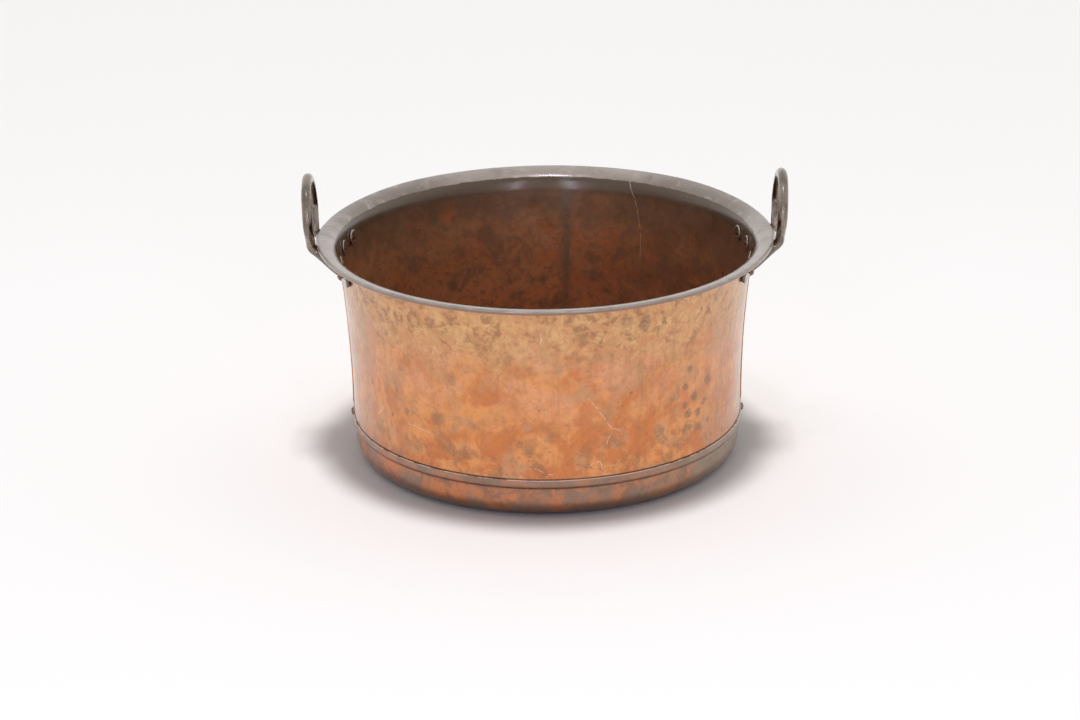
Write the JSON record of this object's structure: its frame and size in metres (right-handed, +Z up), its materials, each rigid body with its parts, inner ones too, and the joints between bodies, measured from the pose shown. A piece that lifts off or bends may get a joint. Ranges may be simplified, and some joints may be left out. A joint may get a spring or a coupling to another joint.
{
  "type": "copper pot",
  "caption": "Wide open copper pot with a slightly flared riveted wall, wired rim flange, lapped base pan and two upright loop handles.",
  "frame": {"origin": "centre of the base's underside, on the floor", "axes": "+Z up, +X from the pot's middle through the right handle, -Y towards the front"},
  "size_m": [0.6286, 0.5998, 0.3796],
  "materials": {
    "copper_wall": "satin copper sheet with mottled brown patina, darker and redder inside",
    "copper_base": "satin copper with grey-brown tarnish",
    "handle_bronze": "smooth dark brown-grey patinated cast bronze",
    "rivet_copper": "hammered tarnished copper",
    "iron_wire": "dark drawn iron wire"
  },
  "bodies": {
    "root": {"wall_sheet_front": "copper_wall", "wall_sheet_back": "copper_wall", "base_pan": "copper_base", "rim_wire": "iron_wire", "handle_right": "handle_bronze", "handle_left": "handle_bronze", "handle_rivet_right_1": "rivet_copper", "handle_rivet_right_2": "rivet_copper", "handle_rivet_right_3": "rivet_copper", "handle_rivet_right_4": "rivet_copper", "handle_rivet_left_1": "rivet_copper", "handle_rivet_left_2": "rivet_copper", "handle_rivet_left_3": "rivet_copper", "handle_rivet_left_4": "rivet_copper", "rivet_disc_right_1": "rivet_copper", "rivet_disc_right_2": "rivet_copper", "rivet_disc_right_3": "rivet_copper", "rivet_disc_right_4": "rivet_copper", "rivet_disc_left_1": "rivet_copper", "rivet_disc_left_2": "rivet_copper", "rivet_disc_left_3": "rivet_copper", "rivet_disc_left_4": "rivet_copper", "seam_rivet_right": "rivet_copper", "seam_rivet_left": "rivet_copper"}
  },
  "joints": []
}
